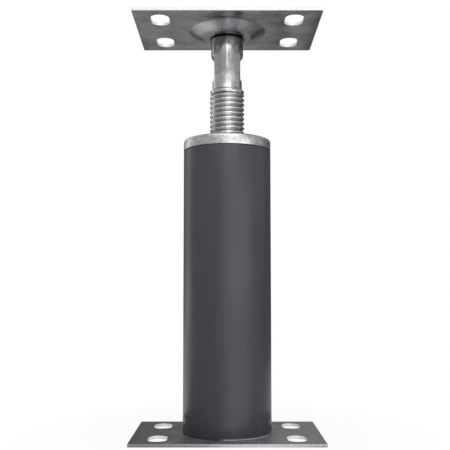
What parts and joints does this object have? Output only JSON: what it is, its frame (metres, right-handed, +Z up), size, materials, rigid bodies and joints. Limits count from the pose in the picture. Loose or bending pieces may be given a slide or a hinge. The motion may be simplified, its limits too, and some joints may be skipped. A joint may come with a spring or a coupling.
{
  "type": "adjustable steel jack post",
  "caption": "Low adjustable steel jack post: painted tube on a slotted foot plate, threaded cap, and a screw that carries a swivelling slotted head plate.",
  "frame": {"origin": "middle of the foot plate's underside, on the screw's axis", "axes": "+Z up along the screw, X along the plates' long side, Y along their short side"},
  "size_m": [0.1588, 0.1016, 0.3566],
  "materials": {
    "plate_steel": "pickled and oiled sheet, satin",
    "tube_paint": "satin dark grey enamel",
    "cap_steel": "turned, bright zinc",
    "screw_steel": "cold drawn bar, oiled, thread rolled"
  },
  "bodies": {
    "post": {"base_plate": "plate_steel", "post_tube": "tube_paint", "threaded_cap": "cap_steel"},
    "swivel": {"swivel_washer": "screw_steel"},
    "screw": {"jack_screw": "screw_steel"},
    "head": {"top_plate": "plate_steel"}
  },
  "joints": [
    {"name": "screw_lift", "type": "slide", "parent": "post", "child": "swivel", "axis": [0, 0, 1], "range_m": [-0.0441, 0.0498]},
    {"name": "screw_turn", "type": "hinge", "parent": "swivel", "child": "screw", "pos_m": [0, 0, 0], "axis": [0, 0, 1], "range_deg": [-3744, 4230]},
    {"name": "plate_swivel", "type": "hinge", "parent": "swivel", "child": "head", "pos_m": [0, 0, 0], "axis": [0, 0, 1], "continuous": true}
  ],
  "couplings": [
    {"joint": "screw_lift", "follows": "screw_turn", "m_per_rad": 0.00067376}
  ]
}
